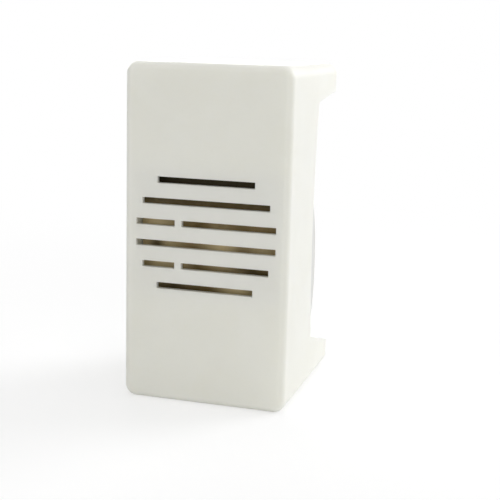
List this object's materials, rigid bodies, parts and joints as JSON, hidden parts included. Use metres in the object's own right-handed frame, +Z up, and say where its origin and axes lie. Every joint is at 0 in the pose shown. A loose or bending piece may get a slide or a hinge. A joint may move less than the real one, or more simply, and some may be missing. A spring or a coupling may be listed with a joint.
{
  "type": "electric buzzer",
  "caption": "Narrow upright electric buzzer module for a switch plate: white slotted cover over an electromagnet that rattles a spring-held steel plate, with wire clamps behind.",
  "frame": {"origin": "middle of the underside of the bounding box, which is the cover's flat bottom wall", "axes": "+Z up along the long side, +X to the right seen from the front, +Y from the slotted front into the wall"},
  "size_m": [0.0226, 0.025, 0.045],
  "materials": {
    "white_plastic": "fine satin moulding",
    "base_plastic": "light grey satin moulding",
    "yoke_steel": "yellow passivated zinc",
    "core_steel": "turned, zinc plated",
    "armature_steel": "olive yellow passivated zinc",
    "bobbin_nylon": "natural nylon",
    "winding_copper": "enamelled copper wire, plain layer",
    "tape_yellow": "polyester film tape",
    "tinned_pin": "tinned",
    "spring_bronze": "rolled bronze strip",
    "rivet_brass": "bright",
    "stop_rubber": "matt",
    "screw_steel": "nickel plated",
    "clamp_steel": "zinc plated",
    "terminal_brass": "pressed brass",
    "lead_wire": "enamelled copper wire"
  },
  "bodies": {
    "housing": {"front_cover": "white_plastic", "rear_base": "base_plastic", "yoke_frame": "yoke_steel", "coil_core": "core_steel", "coil_bobbin": "bobbin_nylon", "coil_winding": "winding_copper", "coil_tape": "tape_yellow", "bobbin_pins": "tinned_pin", "armature_spring": "spring_bronze", "spring_rivets": "rivet_brass", "backstop_pad": "stop_rubber", "yoke_screws": "screw_steel", "base_screws": "screw_steel", "terminal_plate_left": "terminal_brass", "terminal_plate_right": "terminal_brass", "coil_lead_left": "lead_wire", "coil_lead_right": "lead_wire"},
    "armature": {"armature": "armature_steel", "armature_rivets": "rivet_brass"},
    "clamp_left": {"clamp_plate_left": "clamp_steel"},
    "clamp_right": {"clamp_plate_right": "clamp_steel"},
    "screw_left": {"terminal_screw_left": "screw_steel"},
    "screw_right": {"terminal_screw_right": "screw_steel"}
  },
  "joints": [
    {"name": "armature_swing", "type": "hinge", "parent": "housing", "child": "armature", "pos_m": [0, -0.00885, 0.0328], "axis": [1, 0, 0], "range_deg": [0, 3.7], "stiffness_Nm_per_rad": 0.05, "springref_deg": -1.15, "deforming": ["armature_spring"]},
    {"name": "clamp_left_slide", "type": "slide", "parent": "housing", "child": "clamp_left", "axis": [0, 1, 0], "range_m": [0, 0.0019]},
    {"name": "screw_left_turn", "type": "hinge", "parent": "clamp_left", "child": "screw_left", "pos_m": [-0.00473, 0.00655, 0.0109], "axis": [0, 1, 0], "range_deg": [0, 1368]},
    {"name": "clamp_right_slide", "type": "slide", "parent": "housing", "child": "clamp_right", "axis": [0, 1, 0], "range_m": [0, 0.0019]},
    {"name": "screw_right_turn", "type": "hinge", "parent": "clamp_right", "child": "screw_right", "pos_m": [0.00473, 0.00655, 0.0109], "axis": [0, 1, 0], "range_deg": [0, 1368]}
  ],
  "couplings": [
    {"joint": "screw_left_turn", "follows": "clamp_left_slide", "rad_per_m": 12566},
    {"joint": "screw_right_turn", "follows": "clamp_right_slide", "rad_per_m": 12566}
  ]
}
